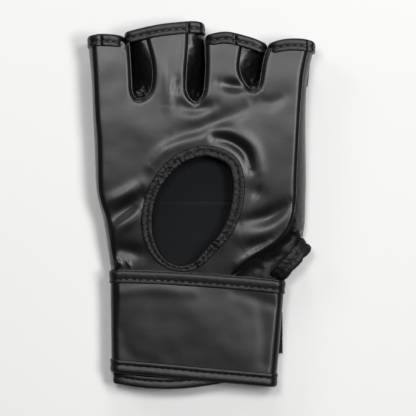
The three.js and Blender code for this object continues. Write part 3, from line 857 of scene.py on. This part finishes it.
def thumb_gusset():
    """The dark folded gusset between the palm leather and the thumb's elastic."""
    near = spline([(20, -41.5), (29.5, -33.4), (44.5, -24), (52.6, -15), (56.8, -9)], 40)
    far = spline([(43, -47), (47.5, -39.5), (52.4, -33), (57, -27), (60.4, -20.5)], 40)
    rows = []
    for t in np.linspace(0, 1, 14):
        xy = near * (1 - t) + far * t
        z = (palm_base(near[:, 1]) - 3.0) * (1 - t) + 18.8 * t - 3.2 * math.sin(math.pi * t)
        rows.append(np.column_stack([xy, z]))
    grid = np.stack(rows, 1)
    folds = grid_waves(grid + (2, -1.2, 0), 3.2, 5, (0.5, 0.5, 0)) + grid_waves(grid, 4.5, 6)
    grid[..., 2] += 0.8 * folds
    piece = sheet("thumb_gusset", grid, (0, 0, 1), THIN, LEATHER_ELASTIC, LINING)
    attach(piece, "hand")


# ---------------------------------------------------------------- linings
def side_limits(y, clearance):
    """How far the padded back reaches to each side at y."""
    left = np.interp(y, *np.transpose(LITTLE_SIDE)[::-1]) + clearance
    right = np.interp(y, *np.transpose([(44, -44), (55, -33)] + INDEX_SIDE)[::-1]) - clearance
    return left, right


def lining(name, node_name, body, drawn_in, sewn_down=False, tucked_under=False):
    """The matt lining over the padded back: a gently rumpled sheet that dips at its sides. Its lower edge can
    be sewn down over another lining's upper edge, which is tucked under it and bulges before the seam."""
    low, high = (np.array(v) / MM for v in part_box(node_name))
    if tucked_under:
        high[1] += 1.4
    share = np.linspace(0, 1, max(10, round((high[0] - low[0]) / 2.0)))
    y = np.linspace(low[1], high[1], max(8, round((high[1] - low[1]) / 0.8)))
    left, right = side_limits(y, 1.8)
    left = np.maximum(left, low[0] + drawn_in)
    right = np.minimum(right, high[0] - drawn_in)
    columns = left[:, None] + (right - left)[:, None] * share
    rows = np.broadcast_to(y[:, None], columns.shape)
    xy = np.column_stack([columns.ravel(), rows.ravel()])
    z = pad_top(xy[:, 1]) + 0.9 * waves(xy, 16, 77) + 0.4 * waves(xy, 6, 78) + 1.2
    side = (np.minimum(share, 1 - share) * (right - left)[:, None]).ravel()
    z -= 1.6 * np.clip(1 - side / 3, 0, 1)
    if sewn_down:
        z -= 0.6 * bell(xy[:, 1] - low[1], 0.9)
    if tucked_under:
        z += 0.9 * bell(xy[:, 1] - high[1] + 4.2, 1.5) - 2.3 * bell(xy[:, 1] - high[1], 1.6)
    grid = np.column_stack([xy, z]).reshape(*rows.shape, 3)
    piece = sheet(name, grid, (0, 0, 1), THIN, LINING, LINING)
    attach(piece, body)
    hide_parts(node_name)


# ---------------------------------------------------------------- padded back
def coordinates(piece):
    """An object's points."""
    flat = np.empty(len(piece.data.vertices) * 3)
    piece.data.vertices.foreach_get("co", flat)
    return flat.reshape(-1, 3) / MM


def set_coordinates(piece, points):
    """Moves an object's points."""
    piece.data.vertices.foreach_set("co", (points * MM).ravel())
    piece.data.update()


def apply_modifiers(piece):
    """Turns what an object's modifiers make of it into its own mesh."""
    found = bpy.data.meshes.new_from_object(piece.evaluated_get(bpy.context.evaluated_depsgraph_get()))
    piece.modifiers.clear()
    piece.data = found


def pad_form(name, border, inset):
    """The closed form, of even small faces, that a pad is before it swells, a little in from its border."""
    build = Build()
    path = even(border, True, 3.0)
    outline = path - outward_of(path) * inset
    n = len(outline)
    low = np.column_stack([outline, np.full(n, PAD_CORNER_Z)])
    high = np.column_stack([outline, pad_top(outline[:, 1]) - 2.2])
    sides = [(i, (i + 1) % n, n + (i + 1) % n, n + i) for i in range(n)]
    build.add(np.vstack([low, high]), [tuple(reversed(range(n))), tuple(range(n, 2 * n))] + sides)
    piece = build.make(name, LEATHER_SKIN)
    remesh = piece.modifiers.new("remesh", "REMESH")
    remesh.mode = "VOXEL"
    remesh.voxel_size = 4 * MM
    apply_modifiers(piece)
    return piece


def swell(piece):
    """Blows a pad up in the cloth simulation, with no point further than PAD_SWELL from where it was."""
    start = coordinates(piece)
    cloth = piece.modifiers.new("cloth", "CLOTH")
    cloth.settings.quality = 6
    cloth.settings.use_pressure = True
    cloth.settings.uniform_pressure_force = PAD_PRESSURE
    cloth.settings.effector_weights.gravity = 0
    for step in range(1, CLOTH_STEPS + 1):
        bpy.context.scene.frame_set(step)
        bpy.context.view_layer.update()
    apply_modifiers(piece)
    bpy.context.scene.frame_set(1)
    moved = coordinates(piece) - start
    far = np.linalg.norm(moved, axis=1, keepdims=True)
    set_coordinates(piece, start + moved * np.minimum(1, PAD_SWELL / np.maximum(far, 1e-6)))


def cloth_pad(name, border, inset, channels, limit):
    """A foam pad in its leather: a smaller closed form swollen by the cloth simulation, flat where it rests,
    with sewn channels pressed into its back. limit keeps its points clear of its neighbours."""
    piece = pad_form(name, border, inset)
    swell(piece)
    finer = piece.modifiers.new("finer", "SUBSURF")
    finer.levels = 2
    apply_modifiers(piece)
    points = coordinates(piece)
    middle = (pad_top(points[:, 1]) - 0.6) / 2
    underside = np.clip((middle - points[:, 2]) / middle, 0, 1)
    dent = np.max([2.0 * bell(distance_to(points[:, :2], line)[0], 1.7) for line in channels], 0) * underside
    points[:, 2] = np.clip(points[:, 2] + dent, dent, pad_top(points[:, 1]) - 0.3)
    set_coordinates(piece, limit(points))
    piece.data.polygons.foreach_set("use_smooth", [True] * len(piece.data.polygons))
    return piece


def seam_stitches(name, lines, body, bare):
    """Rows of stitches along the channels of the padded back, without the last few at each end."""
    build = Build()
    for line in lines:
        path = even(line, spacing=STITCH_PITCH)
        ahead = tangents(path, False)
        for k in range(bare, len(path) - bare):
            centre = np.array((*path[k], 1.75))
            strand(build, centre, np.array((*ahead[k], 0.0)), np.array((0.0, 0.0, -1.0)), 2.7, 0.35, 0)
    piece = build.make(name, THREAD)
    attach(piece, body)


def hand_pad():
    """The padded back of the hand, with its knuckle seam and the channels above and below it."""

    def keep_in_hand(points):
        """Keeps the points between the walls and short of the stalls' pads."""
        points[:, 0] = np.clip(points[:, 0], *side_limits(points[:, 1], 0.3))
        points[:, 1] = np.minimum(points[:, 1], CREASE_Y - 0.1)
        return points

    crease = CREASE_Y + PAD_BEYOND
    left, right = ([p for p in side if p[1] < 60] for side in (LITTLE_SIDE, INDEX_SIDE))
    border = left + [(-64.2, crease), (-30, crease), (0, crease), (32, crease), (63, crease)] + right[::-1]
    border += [(55, -33), (44, -42.5), (10, -42), (-20, -41.5), (-46, -40.5)]
    channels = [even([(-61, 26), (-40, 19), (-8, 16), (28, 17), (60, 22)])]
    channels += [even([(x, 19), (x + 0.5, 42), (x, 69)]) for x in (-44, 2, 39.2)]
    channels += [even([(-30, -38), (-24, -10), (-22, 14)]), even([(26, -38), (24, -10), (25, 14)])]
    piece = cloth_pad("back_pad", border, 0.3, channels, keep_in_hand)
    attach(piece, "hand")
    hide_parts("back_panel", "knuckle_foam")
    seam_stitches("back_pad_stitches", channels, "hand", 2)


def stall_pad(finger):
    """The padded back of one stall."""
    (left, right), (rim_left, rim_right) = LANES[finger]

    def keep_in_stall(points):
        """Keeps the points in the stall's lane and clear of the hand's pad."""
        up = (points[:, 1] - CREASE_Y) / 25
        points[:, 0] = np.clip(points[:, 0], left + (rim_left - left) * up, right + (rim_right - right) * up)
        points[:, 1] = np.maximum(points[:, 1], CREASE_Y + 0.2)
        return points

    start = CREASE_Y - PAD_BEYOND
    end = min(rim_y(finger, rim_left + 1), rim_y(finger, rim_right - 1)) - 7.5
    border = [(left, start), ((left + rim_left) / 2, 84), (rim_left, end)]
    border += [((rim_left + rim_right) / 2, end + 0.6), (rim_right, end), ((right + rim_right) / 2, 84)]
    border += [(right, start), ((left + right) / 2, start)]
    channels = [even([(left + 2, 83), (right - 2, 83)])]
    piece = cloth_pad(f"{finger}_back_pad", border, 0.4, channels, keep_in_stall)
    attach(piece, f"{finger}_finger")
    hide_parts(f"{finger}_back_cover", f"{finger}_foam")
    seam_stitches(f"{finger}_pad_stitches", channels, f"{finger}_finger", 1)


def knuckle_gusset(finger):
    """The soft leather across the knuckle, at the crease between a stall's pad and the hand's pad."""
    left, right = LANES[finger][0]
    corners = [(left + 2.2, 12.6), (left + 2.6, 3.4), (right - 2.6, 3.4), (right - 2.2, 12.6)]
    sides = [np.linspace(a, b, 12, endpoint=False) for a, b in zip(corners, corners[1:])]
    section = np.vstack([*sides, corners[-1]])
    rows = np.concatenate([[68.5, 70], np.linspace(71.3, 72.9, 15), [74, 75.5]])
    grid = np.array([[(x, y, z) for x, z in section] for y in rows])
    outward = np.array([(x - (left + right) / 2, 0, z - 13) for x, z in section])
    piece = sheet(f"{finger}_knuckle", grid, outward, THIN, LEATHER_SKIN, LINING)
    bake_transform(piece)


# ---------------------------------------------------------------- cuff
CUFF_Z, CUFF_HALF_HIGH = 14.3, 4.3  # of the sleeve's middle, and half its height
CUFF_TURNS = np.linspace(0, math.tau, 110, endpoint=False)


def hem_y(x):
    """The cuff's lower edge, which is longest on the little finger's side."""
    return -110.6 + 6.5 * np.sin(np.clip((x + 21) / 62, -1, 1) * math.pi / 2) ** 2


def cuff_x(flare):
    """Where the points round the sleeve are across it; flare widens it on the little finger's side."""
    left, right = -49.6 - flare, 40.5
    return (left + right) / 2 + (right - left) / 2 * np.cos(CUFF_TURNS)


def cuff_ring(x, y):
    """One ring of points round the flattened sleeve."""
    sines = np.sin(CUFF_TURNS)
    return np.column_stack([x, y, CUFF_Z + CUFF_HALF_HIGH * np.sign(sines) * np.abs(sines) ** 0.7])


def cuff():
    """The flattened sleeve under the strap."""
    x = cuff_x(0)
    rows = [cuff_ring(x, (strap_upper_y(x) - 2) * (1 - t) - 99 * t) for t in np.linspace(0, 1, 26)]
    x = cuff_x(1.6)
    grid = np.stack(rows + [cuff_ring(x, hem_y(x) + 3)])
    grid[..., 2] += 0.35 * grid_waves(grid, 15, 90)
    outward = (grid - (0, 0, CUFF_Z)) * (0.02, 0, 1)
    piece = sheet("wrist_cuff", grid, outward, 1.2, LEATHER_SKIN, LINING, wrap_cols=True)
    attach(piece, "hand")
    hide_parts("palm_cuff", "back_cuff")


def cuff_hem():
    """The sleeve's bound lower edge."""
    x = cuff_x(2.6)
    rim = cuff_ring(x, hem_y(x))
    normal = unit((rim - (-6, 0, CUFF_Z)) * (0.02, 0, 1))
    inward = np.tile((0.0, 1.0, 0.0), (len(rim), 1))
    piece = tape("cuff_hem", rim, inward, normal, TAPE_WIDTH, 1.2, 0.12, 95, stitch_at=0.62)
    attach(piece, "hand")
    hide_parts("cuff_binding")


# ---------------------------------------------------------------- strap
ANCHOR_X, TAB_X = 6.0, 38.0  # where the strap's sewn end starts and its tip ends, behind the wrist
ANCHOR_Z, TAB_Z = 6.4, 1.5  # the heights of those two layers
FOLD = 4.0  # corner radius of the strap's middle layer
STRAP_HALF = 1.5  # from the strap's outside to its middle layer where it folds
# The heights given for the strap's upper and lower folds.
UPPER_BEND, LOWER_BEND = (16.6, 19.2), (6.2, 3.6)
# Soft folds of the strap across the palm side, as in FOLDS.
STRAP_FOLDS = [
    ([(20, -52), (34, -56), (46, -60)], 3.5, -0.35),
    ([(36, -62), (38, -78), (38, -94)], 4.5, -0.35),
    ([(-50, -52), (-30, -50), (-5, -52)], 3.5, 0.3),
    ([(-49, -75), (-44, -88), (-30, -95)], 4.5, -0.3),
]


def strap_section(left, right, high):
    """The strap's path round the wrist from its sewn end to its tip: x, z and the leg of each point."""
    left, right = left + STRAP_HALF + FOLD, right - STRAP_HALF - FOLD
    right_turn_z, left_turn_z, top_turn_z = ANCHOR_Z + FOLD, TAB_Z + FOLD, high - FOLD
    quarter = np.linspace(0, math.pi / 2, 9)[1:-1]
    across, up = FOLD * np.sin(quarter), FOLD * np.cos(quarter)
    legs = {
        "anchor": (np.linspace(ANCHOR_X, right, 26), np.full(26, ANCHOR_Z)),
        "anchor_turn": (right + across, right_turn_z - up),
        "right_side": (np.full(8, right + FOLD), np.linspace(right_turn_z, top_turn_z, 8)),
        "right_turn": (right + up, top_turn_z + across),
        "palm": (np.linspace(right, left, 80), np.full(80, high)),
        "left_turn": (left - across, top_turn_z + up),
        "left_side": (np.full(11, left - FOLD), np.linspace(top_turn_z, left_turn_z, 11)),
        "tab_turn": (left - up, left_turn_z - across),
        "tab": (np.linspace(left, TAB_X, 60), np.full(60, TAB_Z)),
    }
    x, z = np.hstack(list(legs.values()))
    return x, z, np.repeat(list(legs), [len(leg[0]) for leg in legs.values()])


def tab_taper(x, kinds):
    """0 where the strap has its full width, rising to 1 at its tip."""
    return np.clip((x + 50) / 88, 0, 1) ** 1.4 * (kinds == "tab")


def strap_edges():
    """Points along the strap's upper and lower edges, and which leg each point belongs to."""
    x, z, kinds = strap_section(-55.4, 50.6, 23.0)
    y = np.where(kinds == "palm", strap_upper_y(x), strap_side_y(x))
    upper = np.column_stack([x, y - 21.5 * tab_taper(x, kinds), z])
    x, z, kinds = strap_section(-54.8, 45.2, 21.4)
    y = -100.2 - 0.0905 * (x + 54.2)
    lower = np.column_stack([x, y + 5.5 * tab_taper(x, kinds), z])
    return upper, lower, kinds


def strap_grid(upper, lower, in_palm, outward):
    """Points over the strap's outer face, and its normals before it swells and folds."""
    share = np.linspace(0, 1, 44)
    grid = lower[:, None] + (upper - lower)[:, None] * share[None, :, None]
    flat_normals = facing(grid, outward)[0]
    swelling = 0.55 * np.sin(np.pi * share)[None, :] ** 0.6 * np.where(in_palm, 1.0, 0.4)[:, None]
    soft = 0.5 * grid_waves(grid, 30, 51) + 0.14 * grid_waves(grid, 10, 52)
    for line, width, height in STRAP_FOLDS:
        gap, _ = distance_to(grid[..., :2].reshape(-1, 2), spline(line, 12))
        soft += height * bell(gap, width).reshape(soft.shape) * (grid[..., 2] > 20)
    soft *= np.clip(np.sin(np.pi * share) * 3, 0, 1)[None, :] * np.where(in_palm, 1.0, 0.25)[:, None]
    return grid + flat_normals * (swelling + soft + 0.9)[..., None], flat_normals


def strap():
    """The wrist strap in three shares, which meet where it doesn't bend: each has its panel and its two bound
    edges."""
    upper, lower, kinds = strap_edges()
    in_palm = kinds == "palm"
    outward = np.column_stack([upper[:, 0] / 60, np.zeros(len(upper)), np.sign(upper[:, 2] - 14)])[:, None]
    grid, flat_normals = strap_grid(upper, lower, in_palm, outward)
    normals = facing(grid, outward)[0]
    across = unit(upper - lower)
    order = np.arange(len(grid))
    left_side = np.flatnonzero(kinds == "left_side")
    cut_a = int(np.argmax(in_palm)) + 6
    cut_b = int(left_side[len(left_side) // 2])
    between = (order >= cut_a) & (order <= cut_b)
    shares = (
        ("fold", order <= cut_a, ("hand", "strap_palm"), UPPER_BEND, ["anchor"]),
        ("palm", between, ("strap_palm", "strap_side"), UPPER_BEND[::-1], ["palm"]),
        ("tab", order >= cut_b, ("strap_side", "strap_tab"), LOWER_BEND, ["side", "tab"]),
    )
    for name, rows, bodies, bend, legs in shares:
        panel = part_of_grid(f"strap_{name}", grid, normals, rows, 1.9)
        pieces = [(panel, "panel", "leather")]
        for side, rim, inward, faced, stitch_at, seed in (
            ("upper", upper, -across, flat_normals[:, -1], 0.68, 72),
            ("lower", lower, across, flat_normals[:, 0], 0.62, 73),
        ):
            piece = tape(f"strap_{name}_{side}_tape", rim, inward, faced, 8.3, 1.75, 0.1, seed, closed=False,
                         stitch_at=stitch_at, keep=rows)
            pieces.append((piece, f"{side}_binding", "binding"))
        for piece, replaced, slot in pieces:
            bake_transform(piece)
            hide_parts(*(f"strap_{leg}_{replaced}" for leg in legs))


# ---------------------------------------------------------------- everything, the light and the camera
def dress(name, material):
    """Gives a plain part of the CAD model its material."""
    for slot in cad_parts[name].material_slots:
        slot.material = material


VIEW_DISTANCE = 1800.0  # from the camera to the palm, nearly straight down as in the photo
VIEW_WIDTH = 249.6  # how much of the palm's level the picture takes in
VIEW_MIDDLE = (3.9, -1.2)  # x and y in the middle of the picture
FLOOR_Z = -0.6
WORLD_STRENGTH = 0.04  # the weak even light from all round
LAMP_DISTANCE = 1.5  # metres
# Soft square lamps: name, azimuth from the thumb side, elevation, size in metres and power in watts.
LAMPS = (
    ("window", 90, 35, 0.5, 3.4),
    ("left_window", 135, 35, 0.5, 2.7),
    ("thumb_side", 0, 68, 0.3, 7.6),
    ("upper_left", 120, 76, 0.3, 6.9),
    ("upper_right", 40, 68, 0.3, 5.7),
)


def lay_floor():
    """The table top that the glove lies on."""
    bpy.ops.mesh.primitive_plane_add(size=6, location=(0, 0, FLOOR_Z * MM))
    floor = bpy.context.object
    floor.name = "floor"
    floor.data.materials.append(pale_floor())


def light_scene():
    """A weak white surround and the soft lamps, which all point at the glove."""
    world = bpy.data.worlds.new("studio")
    bpy.context.scene.world = world
    world.use_nodes = True
    background = world.node_tree.nodes["Background"].inputs
    background["Color"].default_value = (1, 1, 1, 1)
    background["Strength"].default_value = WORLD_STRENGTH
    for name, azimuth, elevation, size, power in LAMPS:
        light = bpy.data.lights.new(name, "AREA")
        light.size = size
        light.energy = power
        lamp = bpy.data.objects.new(name, light)
        azimuth, elevation = math.radians(azimuth), math.radians(elevation)
        flat = math.cos(elevation)
        place = Vector((flat * math.cos(azimuth), flat * math.sin(azimuth), math.sin(elevation)))
        place *= LAMP_DISTANCE
        lamp.location = place
        lamp.rotation_euler = (-place).to_track_quat("-Z", "Y").to_euler()
        bpy.context.scene.collection.objects.link(lamp)


def place_camera():
    """The camera straight above the palm."""
    camera = bpy.data.cameras.new("camera")
    camera.sensor_width = 36
    camera.lens = camera.sensor_width * VIEW_DISTANCE / VIEW_WIDTH
    viewer = bpy.data.objects.new("camera", camera)
    viewer.location = Vector((*VIEW_MIDDLE, PALM_Z + VIEW_DISTANCE)) * MM
    bpy.context.scene.collection.objects.link(viewer)
    bpy.context.scene.camera = viewer


palm_leather()
outer_walls()
slit_walls()
mouth_bindings()
palm_hole_binding()
thumb_elastic()
thumb_gusset()
lining("upper_lining", "lining_upper", "hand", 0.8, sewn_down=True)
lining("lower_lining", "lining_lower", "hand", 0.8, tucked_under=True)
for finger in FINGERS:
    lining(f"{finger}_stall_lining", f"{finger}_lining", f"{finger}_finger", 3.3)
hand_pad()
for finger in FINGERS:
    stall_pad(finger)
    knuckle_gusset(finger)
cuff()
cuff_hem()
strap()
dress("hook_patch", HOOKS)
dress("loop_patch", HOOKS)
bpy.context.scene.view_settings.view_transform = "Standard"
lay_floor()
light_scene()
place_camera()
